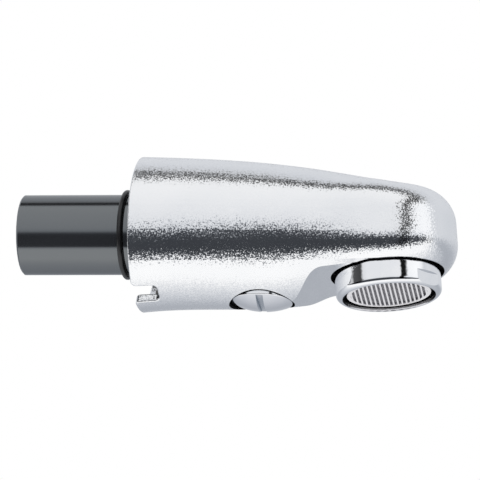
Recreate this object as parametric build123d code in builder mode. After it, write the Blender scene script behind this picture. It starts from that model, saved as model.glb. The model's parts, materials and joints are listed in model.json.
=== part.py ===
from build123d import *
import os
from math import cos, radians, sin, sqrt, tan

# A wall-mounted tap spout that plugs onto its supply with a smooth inlet tube.
# Frame: origin at the centre of the tube's open end, +X along the tube towards the spout's tip,
# +Z up. The outlet and its aerator point down and a little forward.

# ---- driving dimensions, millimetres and degrees ----

# Inlet tube
tube_d = 24.0
tube_wall = 3.0
tube_end_chamfer = 0.5
rim_x = 36.2  # from the tube's open end to the casting's wall-end rim
socket_reach = 49.5  # from the rim to the stop that the tube's inner end meets
tube_end_gap = 0.3

# Casting, outside
rim_d = 46.6
casting_reach = 73.5  # from the rim to the outlet axis, at the height of the tube's axis
outlet_tilt = 6.5  # outlet axis, forward from straight down
outlet_depth = 12.5  # from the tube's axis down to the outlet face
nose_r = 21.4
nose_height = 15.4  # top of the casting over the outlet axis
nose_crown_r = 42.0  # across the top of the nose
nose_fall = 9.0  # slope of the nose's top
nose_shoulder_r = 10.5
lip_r = 10.0  # rounding of the nose's wall down to the outlet face
lip_height = 8.0  # from the outlet face up to the start of that rounding
waist_reach = 24.0  # from the rim to the first section between the rim and the nose
waist_top = 22.35
waist_half_width = 22.7
waist_crown_r = 23.2
waist_lean = 0.3  # share of the outlet's tilt
shoulder_reach = 48.0  # from the rim to the second section
shoulder_top = 20.2
shoulder_half_width = 21.9
shoulder_crown_r = 23.6
shoulder_lean = 0.65
crown_end = 51.0  # from straight up, where a section's crown gives way to its shoulder
shoulder_end = 80.0  # and its shoulder to its flank
flank_end = 100.0  # and its flank to its keel's corner
keel_corner = 130.0
keel_drop = 21.7  # depth of the round underside where the scoop starts
scoop_start = 45.0  # from the rim
scoop_end = 58.0  # from the rim
rim_edge_r = 0.5

# Casting, inside
rim_wall = 3.0
mouth_depth = 30.0
mouth_floor_d = 37.6
collar_start = 16.0  # from the rim to the front of the socket's collar
collar_wall = 3.5
overlap = 1.0  # how far a solid or a cut runs into its neighbour
socket_lead = 1.0
stop_bore_d = 17.6
stop_length = 3.0
duct_d = 14.0
duct_height = 5.0  # of the duct's axis over the tube's axis
chamber_d = 22.6
chamber_top = 23.0  # above the outlet face

# Notch in the rim
notch_width = 7.0
notch_depth = 7.6
notch_angle = 22.5  # from straight down, towards the front
notch_corner_r = 1.75
notch_mouth_r = 1.6

# Seals and glide ring on the tube, placed from the rim
bead_set_back = 4.5
bead_section = 1.7
bead_groove_depth = 0.25
seal_groove_depth = 1.5
seal_groove_width = 2.2
seal_corner_r = 0.6
seal_first = 44.3
seal_pitch = 2.9
glide_at = 25.0
glide_width = 5.0
glide_depth = 1.2
glide_split = 1.5

# Fits
socket_clearance = 0.08
rubbing_clearance = 0.04
thread_clearance = 0.04
side_clearance = 0.1
seat_gap = 0.05

# Lock screw, its distances measured down from the tube's axis
screw_at = 37.5  # from the rim
screw_head_d = 18.4
screw_head_gap = 0.55
screw_head_seat = 18.6
screw_head_rim = 2.5
screw_dome_height = 2.1
screw_edge_r = 0.3
screw_thread_d = 14.0
screw_neck_length = 1.8
screw_neck_depth = 0.9
screw_tip_d = 8.0
screw_tip_gap = 0.12
screw_shank_gap = 0.35
slot_width = 2.1
slot_depth = 1.9
slot_turn = -4.0
lock_groove_depth = 1.6
tip_side_clearance = 0.3
pad_d = 5.2
pad_length = 1.4
screw_seal_d = 16.4
screw_seal_thickness = 1.3

# Aerator, its heights measured up from the outlet face
outlet_thread_d = 28.0
recess_d = 33.8
recess_depth = 2.2
seat_height = 9.3
ring_d = 31.5
ring_drop = 7.1  # from the outlet face down to the ring's lower face
ring_edge_r = 1.7
flange_gap = 0.5
flats_across = 30.0
flats_height = 4.3
flats_count = 2
flats_turn = -30.0
face_bore_d = 27.8
face_bore_depth = 2.4
undercut_depth = 0.6
undercut_length = 0.9
cartridge_d = 25.0
cartridge_clearance = 0.1
cage_wall = 1.6
cage_step = 0.4
cage_flange_d = 26.8
cage_flange = 0.8
air_port_d = 1.2
air_port_pairs = 6
gasket_d = 27.2
gasket_bore_d = 22.0
gasket_thickness = 1.9
grid_recess = 1.0
grid_height = 1.5
grid_rim = 1.1
rib_pitch = 1.3
rib_width = 0.5
rib_count = 18
rib_turn = 5.0
screen_thickness = 0.3
screen_spacing = 1.4
screen_hole_d = 1.0
screen_pitch = 1.7
screen_rows = 13
spacer_wall = 0.9
mixing_length = 4.0  # from the grid up to the jet plate
jet_plate_thickness = 1.8
jet_d = 1.1
jet_count = 18
jet_circle_d = 16.0
core_d = 10.4
core_height = 3.4
core_base = 0.9
core_star_r = 0.6
core_star_points = 8
regulator_section = 1.9
strainer_d = 20.2
strainer_wall = 0.7
strainer_height = 6.0
strainer_hole_d = 0.9
strainer_hole_pitch = 1.8
strainer_top_rows = 9
strainer_side_rows = 2
strainer_side_pairs = 10

# ---- sizes and places that follow from them ----

tube_r = tube_d / 2
tube_bore_r = tube_r - tube_wall
tube_length = rim_x + socket_reach - tube_end_gap
socket_r = tube_r + socket_clearance
sliding_r = socket_r - rubbing_clearance
rim_r = rim_d / 2
stop_r = stop_bore_d / 2
chamber_r = chamber_d / 2

screw_x = rim_x + screw_at
screw_head_r = screw_head_d / 2
screw_thread_r = screw_thread_d / 2
screw_neck_r = screw_thread_r - screw_neck_depth
screw_seal_r = screw_seal_d / 2
tip_end = tube_r - lock_groove_depth + screw_tip_gap
shank_end = tube_r + screw_shank_gap
neck_end = screw_head_seat - screw_neck_length
head_under = screw_head_seat + seat_gap
head_top = screw_head_seat + screw_head_rim + screw_dome_height
seal_pocket_floor = screw_head_seat - screw_seal_thickness - seat_gap

thread_r = outlet_thread_d / 2
ring_r = ring_d / 2
cartridge_r = cartridge_d / 2
flange_top = recess_depth - flange_gap
cage_top = seat_height - gasket_thickness
housing_top = cage_top - cage_flange
cage_bore_r = cartridge_r - cage_wall
insert_bore_r = cage_bore_r + cage_step
insert_r = insert_bore_r - seat_gap
grid_floor = grid_recess - ring_drop
grid_top = grid_floor + grid_height
plate_floor = grid_top + mixing_length
core_floor = plate_floor + jet_plate_thickness
strainer_floor = core_floor + core_height

lip_foot = nose_r - lip_r + sqrt(lip_r**2 - lip_height**2)
nose_block = 4 * nose_height

tilt = radians(outlet_tilt)
forward = (cos(tilt), 0, sin(tilt))
outlet_x = rim_x + casting_reach + outlet_depth * tan(tilt)
# The outlet face: its Z runs up the outlet axis, and its X towards the tip.
outlet = Plane(origin=(outlet_x, 0, -outlet_depth), x_dir=forward, z_dir=(-sin(tilt), 0, cos(tilt)))
outlet_axis = Axis(outlet.origin, outlet.z_dir)
outlet_half = Plane(origin=outlet.origin, x_dir=forward, z_dir=(0, -1, 0))
# The nose's back, across the casting on the outlet axis.
nose_back = Plane(origin=outlet.origin, x_dir=(0, 1, 0), z_dir=forward)
# The lock screw: its Z runs straight down from the tube's axis.
screw_frame = Plane(origin=(screw_x, 0, 0), x_dir=(1, 0, 0), z_dir=(0, 0, -1))
screw_half = Plane(origin=(screw_x, 0, 0), x_dir=(1, 0, 0), z_dir=(0, 1, 0))
# The notch: its Z runs out through the rim's wall, and its X towards the tip.
notch_turn = radians(notch_angle)
notch_frame = Plane(origin=(rim_x, 0, 0), x_dir=(1, 0, 0), z_dir=(0, -sin(notch_turn), -cos(notch_turn)))


def across(x):
    """The plane across the tube at a distance from its open end."""
    return Plane.YZ.offset(x)


def disc(plane, radius, length, mode=Mode.ADD):
    """A cylinder that stands on a plane."""
    with BuildSketch(plane) as profile:
        Circle(radius)
    extrude(profile.sketch, amount=length, mode=mode)


def ring(plane, outer, inner, length, mode=Mode.ADD):
    """A plain ring that stands on a plane."""
    with BuildSketch(plane) as profile:
        Circle(outer)
        Circle(inner, mode=Mode.SUBTRACT)
    extrude(profile.sketch, amount=length, mode=mode)


# ---- casting ----

# The nose is turned about the outlet axis, under a crown that falls to the tip.
fall = radians(nose_fall)
crown_line = Plane(
    origin=(rim_x + casting_reach - nose_height * tan(tilt), 0, nose_height),
    x_dir=(0, 1, 0),
    z_dir=(cos(fall), 0, -sin(fall)),
)
with BuildPart() as nose:
    with BuildSketch(outlet_half):
        with BuildLine():
            Polyline((-lip_foot, 0), (0, 0), (0, nose_block), (-nose_r, nose_block), (-nose_r, lip_height))
            TangentArc((-nose_r, lip_height), (-lip_foot, 0), tangent=(0, -1))
        make_face()
    revolve(axis=outlet_axis)
    with BuildSketch(crown_line.offset(-3 * nose_r)):
        with Locations((0, -nose_crown_r)):
            Circle(nose_crown_r)
        with Locations((0, -2 * nose_crown_r)):
            Rectangle(2 * nose_crown_r, 2 * nose_crown_r)
    extrude(amount=6 * nose_r, mode=Mode.INTERSECT)
    crown_edges = nose.faces().sort_by(Axis.Z)[-1].edges()
    fillet(crown_edges, nose_shoulder_r)
    split(bisect_by=nose_back, keep=Keep.TOP)
nose_cut = nose.faces().filter_by(lambda f: abs(nose_back.to_local_coords(f.center()).Z) < 0.01)[0]
# The loft needs the cut's outline to start at one of the lip's arcs.
nose_outline = nose_cut.outer_wire().order_edges()
nose_section = Face(Wire(nose_outline[1:] + nose_outline[:1]))


def section_arcs(top, half_width, crown_radius):
    """Tangent arcs down one side of a section: crown, shoulder, and one round flank and keel.

    Each is its radius, the height of its centre and the centre's distance from the middle.
    """
    crown_sin, crown_cos = sin(radians(crown_end)), cos(radians(crown_end))
    shoulder_sin, shoulder_cos = sin(radians(shoulder_end)), cos(radians(shoulder_end))
    shoulder_radius = (half_width * shoulder_sin - crown_radius * crown_sin) / (shoulder_sin - crown_sin)
    crown_height = top - crown_radius
    shoulder_out = (crown_radius - shoulder_radius) * crown_sin
    shoulder_height = crown_height + (crown_radius - shoulder_radius) * crown_cos
    keel_height = shoulder_height + (shoulder_radius - half_width) * shoulder_cos
    return {
        "crown": (crown_radius, 0, crown_height),
        "shoulder": (shoulder_radius, shoulder_out, shoulder_height),
        "keel": (half_width, 0, keel_height),
    }


def casting_section(plane, top, half_width, crown_radius):
    """A closed section of the casting, symmetric about the spout's middle plane."""
    arcs = section_arcs(top, half_width, crown_radius)

    def draw(name, start, end, side=1):
        radius, out, height = arcs[name]
        turns = [radians(angle) for angle in (start, (start + end) / 2, end)]
        ThreePointArc(*[(side * (out + radius * sin(t)), height + radius * cos(t)) for t in turns])

    with BuildSketch(plane) as section:
        with BuildLine():
            draw("crown", -crown_end, crown_end)
            for side in (1, -1):
                draw("shoulder", crown_end, shoulder_end, side)
                draw("keel", shoulder_end, flank_end, side)
                draw("keel", flank_end, keel_corner, side)
            draw("keel", keel_corner, 360 - keel_corner)
        make_face()
    return section.sketch.face()


def station(reach, lean):
    """A plane across the casting at a distance from the rim, leaning by a share of the tilt."""
    angle = tilt * lean
    return Plane(origin=(rim_x + reach, 0, 0), x_dir=(0, 1, 0), z_dir=(cos(angle), 0, sin(angle)))


waist = station(waist_reach, waist_lean)
shoulder = station(shoulder_reach, shoulder_lean)
casting_sections = [
    casting_section(station(0, 0), rim_r, rim_r, rim_r),
    casting_section(waist, waist_top, waist_half_width, waist_crown_r),
    casting_section(shoulder, shoulder_top, shoulder_half_width, shoulder_crown_r),
    nose_section,
]

scoop_foot = Vector(rim_x + scoop_end, (rim_x + scoop_end - outlet_x) * tan(tilt) - outlet_depth)
scoop_tip = scoop_foot + Vector(cos(tilt), sin(tilt)) * (scoop_end + nose_r)
with BuildPart() as spout_body:
    loft(casting_sections)
    add(nose.part)

    # Underside: an S-shaped scoop that runs out into the flat outlet face.
    with BuildSketch(Plane.XZ):
        with BuildLine():
            scoop = Spline(
                (rim_x + scoop_start, -keel_drop),
                scoop_foot,
                tangents=((1, 0), (cos(tilt), sin(tilt))),
            )
            Polyline(scoop @ 1, scoop_tip, (scoop_tip.X, -rim_d), (rim_x + scoop_start, -rim_d), scoop @ 0)
        make_face()
    extrude(amount=rim_d, both=True, mode=Mode.SUBTRACT)

    # Mouth: open from the wall end, round a collar that carries the tube's socket.
    with BuildSketch(across(rim_x)):
        Circle(rim_r - rim_wall)
    with BuildSketch(across(rim_x + mouth_depth)):
        Circle(mouth_floor_d / 2)
    loft(mode=Mode.SUBTRACT)
    disc(across(rim_x + collar_start), socket_r + collar_wall, mouth_depth - collar_start + overlap)
    disc(across(rim_x + collar_start), socket_r, socket_reach - collar_start, Mode.SUBTRACT)
    collar_face = spout_body.faces().filter_by(
        lambda f: f.geom_type == GeomType.PLANE and abs(f.center().X - rim_x - collar_start) < 0.01
    )[0]
    chamfer(collar_face.edges().sort_by(SortBy.LENGTH)[0], socket_lead)

    # Notch through the rim's wall, its outer corners rounded, then the rim's edges.
    with BuildSketch(notch_frame):
        RectangleRounded(2 * notch_depth, notch_width, notch_corner_r)
    extrude(amount=2 * rim_r, mode=Mode.SUBTRACT)
    rim_face = spout_body.faces().sort_by(Axis.X)[0]
    fillet(rim_face.edges().filter_by(GeomType.LINE), notch_mouth_r)
    rim_face = spout_body.faces().sort_by(Axis.X)[0]
    fillet(rim_face.edges(), rim_edge_r)

    # Waterway: past the tube's stop, up a duct and into the chamber over the outlet.
    disc(across(rim_x + socket_reach - overlap), stop_r, stop_length + overlap, Mode.SUBTRACT)
    with BuildSketch(across(rim_x + socket_reach)):
        with Locations((0, duct_height)):
            Circle(duct_d / 2)
    extrude(amount=casting_reach - socket_reach, mode=Mode.SUBTRACT)
    disc(outlet.offset(seat_height), chamber_r, chamber_top - seat_height, Mode.SUBTRACT)
    disc(outlet, thread_r, seat_height, Mode.SUBTRACT)
    disc(outlet, recess_d / 2, recess_depth, Mode.SUBTRACT)

    # The lock screw's hole, from its counterbore through into the socket.
    disc(screw_frame.offset(screw_head_seat), screw_head_r + screw_head_gap, rim_r, Mode.SUBTRACT)
    disc(screw_frame.offset(seal_pocket_floor), screw_seal_r, rim_r, Mode.SUBTRACT)
    disc(screw_frame.offset(tube_r / 2), screw_thread_r, rim_r, Mode.SUBTRACT)

# ---- inlet tube and what it carries ----

bead_x = rim_x - bead_set_back
seal_places = [rim_x + seal_first, rim_x + seal_first + seal_pitch]
grooves = [
    (bead_x, bead_section + 2 * side_clearance, bead_groove_depth),
    (rim_x + glide_at, glide_width, glide_depth),
    (screw_x, screw_tip_d + 2 * tip_side_clearance, lock_groove_depth),
    (seal_places[0], seal_groove_width, seal_groove_depth),
    (seal_places[1], seal_groove_width, seal_groove_depth),
]
with BuildPart() as inlet_tube:
    disc(across(0), tube_r, tube_length)
    for end in (0, -1):
        chamfer(inlet_tube.edges().sort_by(Axis.X)[end], tube_end_chamfer)
    disc(across(0), tube_bore_r, tube_length, Mode.SUBTRACT)
    for middle, width, depth in grooves:
        ring(across(middle - width / 2), tube_r + overlap, tube_r - depth, width, Mode.SUBTRACT)

bead_floor = tube_r - bead_groove_depth
with BuildPart() as tube_bead:
    with BuildSketch(Plane.XY):
        with Locations((bead_x, bead_floor + bead_section / 2)):
            Circle(bead_section / 2)
        with Locations((bead_x, bead_floor + bead_section / 4)):
            Rectangle(bead_section / 2, bead_section / 2)
    revolve(axis=Axis.X)

glide_length = glide_width - 2 * side_clearance
with BuildPart() as glide_ring:
    ring(across(rim_x + glide_at - glide_length / 2), sliding_r, tube_r - glide_depth, glide_length)
    with BuildSketch(Plane.XY):
        with Locations((rim_x + glide_at, 0)):
            Rectangle(2 * glide_width, glide_split)
    extrude(amount=2 * tube_r, mode=Mode.SUBTRACT)


def tube_seal(x):
    """A seal squeezed between its groove in the tube and the socket."""
    floor = tube_r - seal_groove_depth
    width = seal_groove_width - 2 * side_clearance
    with BuildPart() as seal:
        with BuildSketch(Plane.XY):
            with Locations((x, (floor + sliding_r) / 2)):
                RectangleRounded(width, sliding_r - floor, seal_corner_r)
        revolve(axis=Axis.X)
    return seal


tube_seal_outer = tube_seal(seal_places[0])
tube_seal_inner = tube_seal(seal_places[1])

# ---- lock screw ----

dome_start = screw_head_seat + screw_head_rim
with BuildPart() as lock_screw:
    with BuildSketch(screw_half) as head:
        with BuildLine():
            Polyline((0, head_top), (0, head_under), (screw_head_r, head_under), (screw_head_r, dome_start))
            TangentArc((0, head_top), (screw_head_r, dome_start), tangent=(1, 0))
        make_face()
        fillet(head.vertices().sort_by(Axis.Y)[2], screw_edge_r)
    revolve(axis=Axis(screw_frame.origin, screw_frame.z_dir))
    disc(screw_frame.offset(neck_end), screw_neck_r, head_under - neck_end)
    disc(screw_frame.offset(shank_end), screw_thread_r - thread_clearance, neck_end - shank_end)
    disc(screw_frame.offset(tip_end), screw_tip_d / 2, shank_end - tip_end)
    with BuildSketch(screw_frame.offset(head_top - slot_depth)):
        Rectangle(slot_width, 2 * screw_head_d, rotation=slot_turn)
    extrude(amount=slot_depth, mode=Mode.SUBTRACT)
    disc(screw_frame.offset(tip_end), pad_d / 2, pad_length, Mode.SUBTRACT)

with BuildPart() as screw_pad:
    disc(screw_frame.offset(tip_end), pad_d / 2, pad_length)

with BuildPart() as screw_seal:
    ring(
        screw_frame.offset(seal_pocket_floor + seat_gap / 2),
        screw_seal_r - seat_gap,
        screw_neck_r + rubbing_clearance,
        screw_seal_thickness,
    )

# ---- aerator ----

with BuildPart() as aerator_housing:
    disc(outlet.offset(-ring_drop), ring_r, ring_drop + flange_top)
    fillet(aerator_housing.edges().filter_by(GeomType.CIRCLE).sort_by(Axis.Z)[0], ring_edge_r)
    disc(outlet.offset(flange_top), thread_r - thread_clearance, housing_top - flange_top)
    ring(
        outlet.offset(flange_top),
        thread_r + overlap,
        thread_r - undercut_depth,
        undercut_length,
        Mode.SUBTRACT,
    )
    disc(outlet.offset(-ring_drop), cartridge_r + cartridge_clearance, ring_drop + housing_top, Mode.SUBTRACT)
    disc(outlet.offset(-ring_drop), face_bore_d / 2, face_bore_depth, Mode.SUBTRACT)
    with BuildSketch(outlet.offset(-ring_drop)):
        with PolarLocations(flats_across / 2 + ring_r, flats_count, flats_turn):
            Rectangle(2 * ring_r, 2 * ring_r)
    extrude(amount=flats_height, mode=Mode.SUBTRACT)

# The cartridge is a sleeve whose flange rests on the housing, with the rest stacked inside it.
with BuildPart() as cartridge_cage:
    disc(outlet.offset(grid_top), cartridge_r, housing_top - grid_top)
    disc(outlet.offset(housing_top), cage_flange_d / 2, cage_flange)
    disc(outlet.offset(grid_top), cage_bore_r, cage_top - grid_top, Mode.SUBTRACT)
    disc(outlet.offset(plate_floor), insert_bore_r, cage_top - plate_floor, Mode.SUBTRACT)
    with Locations(outlet.offset(plate_floor - air_port_d)):
        with PolarLocations(0, air_port_pairs, angular_range=180, endpoint=False):
            Cylinder(air_port_d / 2, 2 * cartridge_d, rotation=(0, 90, 0), mode=Mode.SUBTRACT)

with BuildPart() as outlet_grid:
    ring(outlet.offset(grid_floor), cartridge_r, cartridge_r - grid_rim, grid_height)
    for layer, columns, rows in ((0, rib_count, 1), (1, 1, rib_count)):
        with BuildSketch(outlet.offset(grid_floor + layer * grid_height / 2)):
            with Locations(Location((0, 0, 0), (0, 0, rib_turn))):
                with GridLocations(rib_pitch, rib_pitch, columns, rows):
                    if layer:
                        Rectangle(cartridge_d, rib_width)
                    else:
                        Rectangle(rib_width, cartridge_d)
            Circle(cartridge_r - grid_rim / 2, mode=Mode.INTERSECT)
        extrude(amount=grid_height / 2)


def mixing_screen(floor):
    """A thin perforated disc across the cage."""
    with BuildPart() as screen:
        with BuildSketch(outlet.offset(floor)):
            Circle(cage_bore_r - seat_gap)
            grid = GridLocations(screen_pitch, screen_pitch, screen_rows, screen_rows)
            spots = [s for s in grid.local_locations if s.position.length < cage_bore_r - screen_hole_d]
            with Locations(*spots):
                Circle(screen_hole_d / 2, mode=Mode.SUBTRACT)
        extrude(amount=screen_thickness)
    return screen


lower_screen = mixing_screen(grid_top)
upper_screen = mixing_screen(grid_top + screen_thickness + screen_spacing)

with BuildPart() as screen_spacer:
    ring(
        outlet.offset(grid_top + screen_thickness),
        cage_bore_r - seat_gap,
        cage_bore_r - seat_gap - spacer_wall,
        screen_spacing,
    )

with BuildPart() as jet_plate:
    disc(outlet.offset(plate_floor), insert_r, jet_plate_thickness)
    with BuildSketch(outlet.offset(plate_floor)):
        with PolarLocations(jet_circle_d / 2, jet_count):
            Circle(jet_d / 2)
    extrude(amount=jet_plate_thickness, mode=Mode.SUBTRACT)

with BuildPart() as regulator_core:
    disc(outlet.offset(core_floor), insert_r, core_base)
    disc(outlet.offset(core_floor + core_base), core_d / 2, core_height - core_base)
    with BuildSketch(outlet.offset(core_floor + core_base)):
        with PolarLocations(core_d / 2, core_star_points):
            Circle(core_star_r)
    extrude(amount=core_height - core_base, mode=Mode.SUBTRACT)
    with BuildSketch(outlet.offset(core_floor)):
        with PolarLocations(jet_circle_d / 2, jet_count // 2):
            Circle(jet_d)
    extrude(amount=core_base, mode=Mode.SUBTRACT)

with BuildPart() as regulator_ring:
    with BuildSketch(outlet_half):
        with Locations(
            (core_d / 2 + regulator_section / 2 + seat_gap, core_floor + core_base + regulator_section / 2)
        ):
            Circle(regulator_section / 2)
    revolve(axis=outlet_axis)

with BuildPart() as inlet_strainer:
    disc(outlet.offset(strainer_floor), insert_r, strainer_wall)
    disc(outlet.offset(strainer_floor), strainer_d / 2, strainer_height)
    disc(
        outlet.offset(strainer_floor),
        strainer_d / 2 - strainer_wall,
        strainer_height - strainer_wall,
        Mode.SUBTRACT,
    )
    with BuildSketch(outlet.offset(strainer_floor + strainer_height - strainer_wall)):
        grid = GridLocations(
            strainer_hole_pitch, strainer_hole_pitch, strainer_top_rows, strainer_top_rows
        )
        reach = strainer_d / 2 - 2 * strainer_wall
        with Locations(*[s for s in grid.local_locations if s.position.length < reach]):
            Circle(strainer_hole_d / 2)
    extrude(amount=strainer_wall, mode=Mode.SUBTRACT)
    for row in range(strainer_side_rows):
        height = strainer_floor + strainer_height - (row + 1) * strainer_hole_pitch
        with Locations(outlet.offset(height)):
            with PolarLocations(0, strainer_side_pairs, angular_range=180, endpoint=False):
                Cylinder(strainer_hole_d / 2, 2 * strainer_d, rotation=(0, 90, 0), mode=Mode.SUBTRACT)

with BuildPart() as aerator_gasket:
    ring(outlet.offset(cage_top), gasket_d / 2, gasket_bore_d / 2, gasket_thickness)

# ---- one STEP for each piece ----

pieces = {
    "spout_body": spout_body,
    "inlet_tube": inlet_tube,
    "tube_bead": tube_bead,
    "glide_ring": glide_ring,
    "tube_seal_outer": tube_seal_outer,
    "tube_seal_inner": tube_seal_inner,
    "lock_screw": lock_screw,
    "screw_pad": screw_pad,
    "screw_seal": screw_seal,
    "aerator_housing": aerator_housing,
    "cartridge_cage": cartridge_cage,
    "outlet_grid": outlet_grid,
    "lower_screen": lower_screen,
    "screen_spacer": screen_spacer,
    "upper_screen": upper_screen,
    "jet_plate": jet_plate,
    "regulator_core": regulator_core,
    "regulator_ring": regulator_ring,
    "inlet_strainer": inlet_strainer,
    "aerator_gasket": aerator_gasket,
}
os.makedirs("parts", exist_ok=True)
for name, piece in pieces.items():
    piece.part.label = name
    export_step(piece.part, f"parts/{name}.step")
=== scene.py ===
import json
import math

import bpy
from mathutils import Matrix, Vector

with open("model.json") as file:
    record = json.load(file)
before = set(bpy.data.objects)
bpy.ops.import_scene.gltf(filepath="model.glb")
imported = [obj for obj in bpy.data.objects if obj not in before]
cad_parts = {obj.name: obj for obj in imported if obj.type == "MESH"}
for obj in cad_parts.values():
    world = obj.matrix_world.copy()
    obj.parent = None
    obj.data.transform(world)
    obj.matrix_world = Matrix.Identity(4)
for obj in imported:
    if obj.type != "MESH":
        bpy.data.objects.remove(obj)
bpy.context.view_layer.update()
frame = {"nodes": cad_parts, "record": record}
nodes = frame["nodes"]
record = frame["record"]
scene = bpy.context.scene
scene.view_settings.view_transform = "Standard"

# ---- camera: below the spout, on its notched side, with a long lens ----

camera_aim = Vector((0.06586, 0.00044, -0.00154))
camera_azimuth = math.radians(11.378)
camera_elevation = math.radians(-16.655)
camera_roll = math.radians(3.144)
camera_distance = 2.16488
camera_lens = 544.4
camera_sensor = 36.0
camera_clip_end = 50.0

camera_data = bpy.data.cameras.new("camera")
camera_data.lens = camera_lens
camera_data.sensor_width = camera_sensor
camera_data.clip_end = camera_clip_end
camera = bpy.data.objects.new("camera", camera_data)
scene.collection.objects.link(camera)
scene.camera = camera
camera_back = Vector(
    (
        math.sin(camera_azimuth) * math.cos(camera_elevation),
        -math.cos(camera_azimuth) * math.cos(camera_elevation),
        math.sin(camera_elevation),
    )
)
camera.location = camera_aim + camera_back * camera_distance
turn = (-camera_back).to_track_quat("-Z", "Y").to_matrix().to_4x4()
camera.matrix_world = Matrix.Translation(camera.location) @ turn @ Matrix.Rotation(camera_roll, 4, "Z")


# ---- node helpers ----

class Nodes:
    """Adds nodes to a node tree and links them."""

    def __init__(self, tree):
        self.tree = tree
        tree.nodes.clear()

    def add(self, kind, inputs=(), **settings):
        """A node, with each input linked to a socket or set to a value."""
        node = self.tree.nodes.new(kind)
        for name, value in settings.items():
            setattr(node, name, value)
        for name, value in dict(inputs).items():
            socket = node.inputs[name]
            if isinstance(value, bpy.types.NodeSocket):
                self.tree.links.new(value, socket)
            else:
                socket.default_value = value
        return node

    def math(self, operation, *values):
        return self.add("ShaderNodeMath", enumerate(values), operation=operation).outputs[0]

    def both(self, first, second):
        """1 where both masks are 1."""
        return self.math("MULTIPLY", first, second)

    def vector(self, operation, *values, output="Vector"):
        return self.add("ShaderNodeVectorMath", enumerate(values), operation=operation).outputs[output]

    def ramp(self, fac, stops):
        """A colour that changes evenly from stop to stop."""
        node = self.add("ShaderNodeValToRGB", {"Fac": fac})
        elements = node.color_ramp.elements
        while len(elements) < len(stops):
            elements.new(0.5)
        for element, (place, colour) in zip(elements, stops):
            element.position = place
            element.color = (*colour, 1.0)
        return node.outputs["Color"]

    def mix(self, share, first, second, blend_type="MIX"):
        inputs = {0: share, 6: first, 7: second}
        return self.add("ShaderNodeMix", inputs, data_type="RGBA", blend_type=blend_type).outputs[2]


# ---- studio: soft boxes parted by dark gaps, seen in reflections, on a plain white background ----

less_red, less_green, more_blue = 0.10, 0.01, 0.16


def cool_grey(level):
    """A light level, with the cool tint that the darker parts of the studio have."""
    tint = max(0.0, 1.0 - level)
    return (level * (1 - less_red * tint), level * (1 - less_green * tint), level * (1 + more_blue * tint))


def grey(level):
    return (level, level, level)


def by_angle(stops, colour_of=grey):
    """Ramp stops from angles in degrees, -180 to 180, and light levels."""
    return [((angle + 180) / 360, colour_of(level)) for angle, level in stops]


# Round the spout's length: the angle is 0 level towards the camera's side, and up is positive.
bands = [
    (-180, 0.50), (-163, 0.45), (-150, 0.51), (-131, 0.65), (-117, 0.76), (-104, 0.89), (-94, 1.02),
    (-88, 1.08), (-59, 1.08), (-54, 0.75), (-51, 0.07), (-46, 0.05), (-18, 0.05), (-12, 0.11),
    (-5, 0.70), (4, 0.84), (30, 0.90), (66, 0.96), (90, 0.86), (104, 0.70), (125, 0.76), (160, 0.70),
    (180, 0.50),
]
# A dark gap overhead runs along the spout, and stops short of the studio's ends.
overhead = [(-180, 1.0), (75, 1.0), (79, 0.2), (82, 0.01), (88, 0.01), (93, 0.6), (104, 1.0), (180, 1.0)]
overhead_reach = [(0.0, 1.0), (0.64, 1.0), (0.70, 0.0), (1.0, 0.0)]
# Along the spout's length, from -1 behind the tube's end to 1 past the tip: a wide gap on the left
# and a narrow one on the right. They part only what is in front of the spout.
gaps = [
    (-1.0, 0.75), (-0.96, 0.7), (-0.93, 0.10), (-0.78, 0.06), (-0.72, 0.9), (-0.6, 1.0),
    (0.52, 1.0), (0.555, 0.06), (0.575, 0.01), (0.655, 0.01), (0.68, 0.1), (0.73, 1.12), (1.0, 1.12),
]
in_front = [(-60, 0.0), (-45, 1.0), (84, 1.0), (92, 0.0)]

world = bpy.data.worlds.new("studio")
scene.world = world
world.use_nodes = True
sky = Nodes(world.node_tree)
towards = sky.add("ShaderNodeTexCoord").outputs["Generated"]
side, depth, height = sky.add("ShaderNodeSeparateXYZ", {"Vector": towards}).outputs
round_angle = sky.math("ARCTAN2", height, sky.math("MULTIPLY", depth, -1.0))
round_place = sky.math("MULTIPLY_ADD", round_angle, 1 / (2 * math.pi), 0.5)
side_place = sky.math("MULTIPLY_ADD", side, 0.5, 0.5)

round_light = sky.ramp(round_place, by_angle(bands, cool_grey))
gap_light = sky.ramp(side_place, [((x + 1) / 2, grey(level)) for x, level in gaps])
front = sky.ramp(round_place, by_angle(in_front))
overhead_light = sky.ramp(round_place, by_angle(overhead))
reach = sky.ramp(sky.math("ABSOLUTE", side), [(x, grey(level)) for x, level in overhead_reach])
parted = sky.mix(front, round_light, gap_light, "MULTIPLY")
light = sky.mix(reach, parted, overhead_light, "MULTIPLY")

lit = sky.add("ShaderNodeBackground", {"Color": light, "Strength": 1.0})
plain = sky.add("ShaderNodeBackground", {"Color": (1.0, 1.0, 1.0, 1.0), "Strength": 1.0})
seen_directly = sky.add("ShaderNodeLightPath").outputs["Is Camera Ray"]
choose = sky.add("ShaderNodeMixShader", {0: seen_directly, 1: lit.outputs[0], 2: plain.outputs[0]})
sky.add("ShaderNodeOutputWorld", {"Surface": choose.outputs[0]})

# ---- materials ----

# The outlet's axis and the lock screw's, from the frame's joints.
joint_of = {joint["name"]: joint for joint in record["behaviour"]["joints"]}
outlet_centre = Vector(joint_of["aerator_turn"]["pos_m"])
outlet_up = -Vector(joint_of["aerator_turn"]["axis"])
screw_x = joint_of["lock_screw_turn"]["pos_m"][0]

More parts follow.
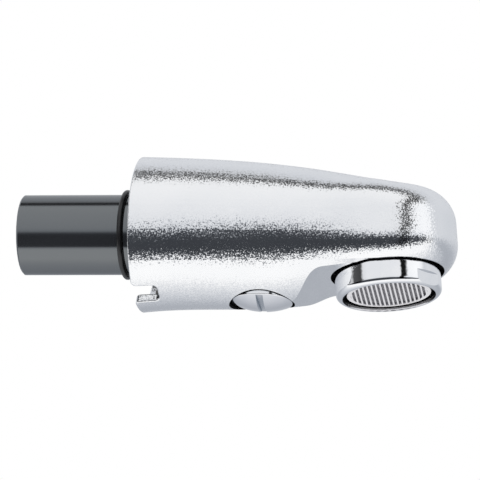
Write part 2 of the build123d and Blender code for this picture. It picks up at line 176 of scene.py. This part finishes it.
# Where painted shade darkens the holes, and where the mouth is bare casting inside, in metres, just
# outside each hole's wall.
recess_r, recess_top = 0.01694, 0.0095  # round the outlet's axis, and up from the outlet face
screw_hole_r = 0.00978
mouth_r, mouth_end = 0.0202, 0.067
ring_bore_r, ring_bore_start = 0.01394, -0.0061  # the bore stays bright below its start
# Painted shade: near-black colours for the casting's holes and the ring's bore.
painted_shade_black = (0.012, 0.012, 0.014, 1.0)
bore_painted_shade = (0.010, 0.010, 0.012, 1.0)
cast_brown = (0.30, 0.29, 0.27, 1.0)
# Painted bluish shade for the lock screw's slot.
slot_painted_shade = (0.30, 0.36, 0.42, 1.0)
inside_roughness = 0.4

low, high = 0.3, 0.7  # the noise levels that a material's two colours stand at


def material(name):
    made = bpy.data.materials.new(name)
    made.use_nodes = True
    return made, Nodes(made.node_tree)


def surface(tree, kind, inputs):
    shader = tree.add(kind, inputs)
    tree.add("ShaderNodeOutputMaterial", {"Surface": shader.outputs[0]})


def object_place(tree):
    return tree.add("ShaderNodeTexCoord").outputs["Object"]


def grain(tree, scale, detail=2.0, stretch=(1.0, 1.0, 1.0)):
    """Soft noise, about scale grains to the metre."""
    mapped = tree.add("ShaderNodeMapping", {"Vector": object_place(tree), "Scale": stretch}).outputs[0]
    inputs = {"Vector": mapped, "Scale": scale, "Detail": detail, "Roughness": 0.5}
    return tree.add("ShaderNodeTexNoise", inputs).outputs["Fac"]


def openness(tree, distance):
    """1 in the open, and less in a hollow about as narrow as the distance."""
    return tree.add("ShaderNodeAmbientOcclusion", {"Distance": distance}, samples=8).outputs["AO"]


def square_sum(tree, first, second):
    return tree.math("ADD", tree.math("POWER", first, 2.0), tree.math("POWER", second, 2.0))


def from_outlet(tree, place):
    """Distance from the outlet's axis, and height above the outlet face."""
    offset = tree.vector("SUBTRACT", place, outlet_centre)
    along = tree.vector("DOT_PRODUCT", offset, outlet_up, output="Value")
    total = tree.vector("LENGTH", offset, output="Value")
    square = tree.math("SUBTRACT", tree.math("POWER", total, 2.0), tree.math("POWER", along, 2.0))
    return tree.math("SQRT", square), along


def tilted(tree, place, scale, amount):
    """A normal that each grain of the surface tilts its own way."""
    inputs = {"Vector": place, "Scale": scale, "Detail": 1.0, "Roughness": 0.6}
    noise = tree.add("ShaderNodeTexNoise", inputs).outputs["Color"]
    swing = tree.vector("SUBTRACT", noise, (0.5, 0.5, 0.5))
    scaled = tree.add("ShaderNodeVectorMath", {0: swing, "Scale": amount}, operation="SCALE").outputs[0]
    flat = tree.add("ShaderNodeNewGeometry").outputs["Normal"]
    return tree.vector("NORMALIZE", tree.vector("ADD", flat, scaled))


def chrome(tree, colour, rough, normal):
    inputs = {"Base Color": colour, "Metallic": 1.0, "Roughness": rough, "Normal": normal}
    surface(tree, "ShaderNodeBsdfPrincipled", inputs)


def satin_chrome():
    """Fine-grained plate on the casting, with painted shade in its holes and bare casting in its mouth."""
    made, tree = material("satin_chrome")
    place = object_place(tree)
    broad = grain(tree, 60.0)
    plated = tree.ramp(broad, [(low, (0.87, 0.88, 0.895)), (high, (0.91, 0.915, 0.925))])
    radius, along = from_outlet(tree, place)
    recess = tree.both(tree.math("LESS_THAN", radius, recess_r), tree.math("LESS_THAN", along, recess_top))
    x, y, z = tree.add("ShaderNodeSeparateXYZ", {"Vector": place}).outputs
    from_screw = square_sum(tree, tree.math("SUBTRACT", x, screw_x), y)
    hole = tree.both(tree.math("LESS_THAN", from_screw, screw_hole_r**2), tree.math("LESS_THAN", z, 0.0))
    from_tube = square_sum(tree, z, y)
    mouth = tree.both(tree.math("LESS_THAN", from_tube, mouth_r**2), tree.math("LESS_THAN", x, mouth_end))
    # Painted shade: the recess and the screw hole are coloured near black where shade falls inside them.
    dark = tree.math("MAXIMUM", recess, hole)
    colour = tree.mix(dark, tree.mix(mouth, plated, cast_brown), painted_shade_black)
    inside = tree.math("MAXIMUM", dark, mouth)
    plated_rough = tree.math("MULTIPLY_ADD", broad, 0.04, 0.13)
    rough = tree.math("MULTIPLY_ADD", inside, inside_roughness, plated_rough)
    chrome(tree, colour, rough, tilted(tree, place, 2300.0, 0.50))
    return made


def ring_chrome():
    """Polished plate on the aerator's ring, with painted shade up in its bore."""
    made, tree = material("ring_chrome")
    place = object_place(tree)
    broad = grain(tree, 400.0)
    plated = tree.ramp(broad, [(low, (0.87, 0.88, 0.90)), (high, (0.91, 0.915, 0.925))])
    radius, along = from_outlet(tree, place)
    within = tree.math("LESS_THAN", radius, ring_bore_r)
    # Painted shade: the bore is coloured near black where shade falls inside it.
    bore = tree.both(within, tree.math("GREATER_THAN", along, ring_bore_start))
    plated_rough = tree.math("MULTIPLY_ADD", broad, 0.03, 0.04)
    rough = tree.math("MULTIPLY_ADD", bore, inside_roughness, plated_rough)
    chrome(tree, tree.mix(bore, plated, bore_painted_shade), rough, tilted(tree, place, 900.0, 0.05))
    return made


def screw_chrome():
    """Polished plate on the lock screw, rougher down in its slot, with painted bluish shade there."""
    made, tree = material("screw_chrome")
    place = object_place(tree)
    broad = grain(tree, 400.0)
    plated = tree.ramp(broad, [(low, (0.86, 0.87, 0.89)), (high, (0.90, 0.90, 0.915))])
    # Painted shade: where the ambient occlusion finds the slot's hollow, the colour turns dull bluish
    # grey.
    slot_shade = tree.ramp(openness(tree, 0.002), [(0.45, grey(1.0)), (0.85, grey(0.0))])
    plated_rough = tree.math("MULTIPLY_ADD", broad, 0.03, 0.04)
    rough = tree.math("MULTIPLY_ADD", slot_shade, 0.25, plated_rough)
    chrome(tree, tree.mix(slot_shade, plated, slot_painted_shade), rough, tilted(tree, place, 900.0, 0.04))
    return made


def ribbed(name, light, dark, roughness):
    """Moulded ribs, with painted shade down in the gaps between them."""
    made, tree = material(name)
    broad = grain(tree, 500.0)
    # Painted shade: the ambient occlusion darkens the colour in the gaps, with a little random tone from
    # the noise.
    level = tree.math("MULTIPLY_ADD", broad, 0.10, tree.math("SUBTRACT", openness(tree, 0.0012), 0.05))
    colour = tree.ramp(level, [(0.30, dark), (0.80, light)])
    rough = tree.math("MULTIPLY_ADD", broad, 0.1, roughness)
    surface(tree, "ShaderNodeBsdfPrincipled", {"Base Color": colour, "Roughness": rough, "IOR": 1.49})
    return made


def uneven(tree, broad, roughness):
    """The roughness, up to a quarter more or less with the noise."""
    return tree.math("MULTIPLY_ADD", broad, roughness * 0.5, roughness * 0.75)


def metal(name, dark, light, roughness):
    made, tree = material(name)
    broad = grain(tree, 400.0)
    colour = tree.ramp(broad, [(low, dark), (high, light)])
    inputs = {"Base Color": colour, "Metallic": 1.0, "Roughness": uneven(tree, broad, roughness)}
    surface(tree, "ShaderNodeBsdfPrincipled", inputs)
    return made


def moulded(
    name, dark, light, roughness, ior=1.5, scale=300.0, depth=0.000004, stretch=(1.0, 1.0, 1.0),
    tint=(1.0, 1.0, 1.0, 1.0),
):
    """Plastic or rubber, slightly uneven from its mould."""
    made, tree = material(name)
    broad = grain(tree, scale, 3.0, stretch)
    bump = tree.add("ShaderNodeBump", {"Height": broad, "Strength": 1.0, "Distance": depth})
    inputs = {
        "Base Color": tree.ramp(broad, [(low, dark), (high, light)]),
        "Roughness": uneven(tree, broad, roughness),
        "IOR": ior,
        "Specular Tint": tint,
        "Normal": bump.outputs[0],
    }
    surface(tree, "ShaderNodeBsdfPrincipled", inputs)
    return made


materials = {
    "satin_chrome": satin_chrome(),
    "polished_chrome": metal("polished_chrome", (0.86, 0.87, 0.89), (0.90, 0.90, 0.915), 0.05),
    # The tube's high IOR gives it a brighter, cooler gloss than plastic has by itself.
    "black_plastic": moulded(
        "black_plastic", (0.018, 0.018, 0.020), (0.026, 0.027, 0.030), 0.12, ior=2.45, scale=90.0,
        depth=0.000002, stretch=(0.15, 1.0, 1.0), tint=(0.90, 0.96, 1.0, 1.0),
    ),
    "black_rubber": moulded(
        "black_rubber", (0.008, 0.008, 0.009), (0.016, 0.016, 0.017), 0.35, ior=1.52, scale=900.0,
        depth=0.00001,
    ),
    "red_rubber": moulded("red_rubber", (0.30, 0.04, 0.03), (0.38, 0.06, 0.04), 0.4, scale=600.0),
    "white_plastic": moulded("white_plastic", (0.74, 0.74, 0.72), (0.82, 0.82, 0.80), 0.35),
    # The pale plastic's darker colour is painted shade in the gaps between its ribs.
    "pale_plastic": ribbed("pale_plastic", (0.86, 0.85, 0.87), (0.28, 0.28, 0.31), 0.25),
    "blue_plastic": moulded("blue_plastic", (0.08, 0.19, 0.40), (0.12, 0.25, 0.48), 0.35),
    "steel_mesh": metal("steel_mesh", (0.50, 0.50, 0.51), (0.60, 0.60, 0.61), 0.28),
}
own_finish = {"aerator_housing": ring_chrome(), "lock_screw": screw_chrome()}
slot_of = {part["node"]: part["material_slot"] for part in record["subparts"]}
for name, thing in nodes.items():
    mesh = thing.data
    mesh.materials.clear()
    mesh.materials.append(own_finish.get(name, materials[slot_of[name]]))
    mesh.polygons.foreach_set("material_index", [0] * len(mesh.polygons))

# ---- stage: a plain pale floor, which the chrome doesn't mirror ----

floor_half, floor_drop = 8.0, 3.0
floor_sides = ((-1, -1), (1, -1), (1, 1), (-1, 1))
floor_corners = [(x * floor_half, y * floor_half, -floor_drop) for x, y in floor_sides]
floor_mesh = bpy.data.meshes.new("floor")
floor_mesh.from_pydata(floor_corners, [], [(0, 1, 2, 3)])
floor = bpy.data.objects.new("floor", floor_mesh)
scene.collection.objects.link(floor)
floor.visible_glossy = False
floor_material, floor_tree = material("floor")
floor_colour = floor_tree.ramp(grain(floor_tree, 2.0, 1.0), [(low, grey(0.93)), (high, grey(0.96))])
surface(floor_tree, "ShaderNodeEmission", {"Color": floor_colour, "Strength": 1.0})
floor_mesh.materials.append(floor_material)
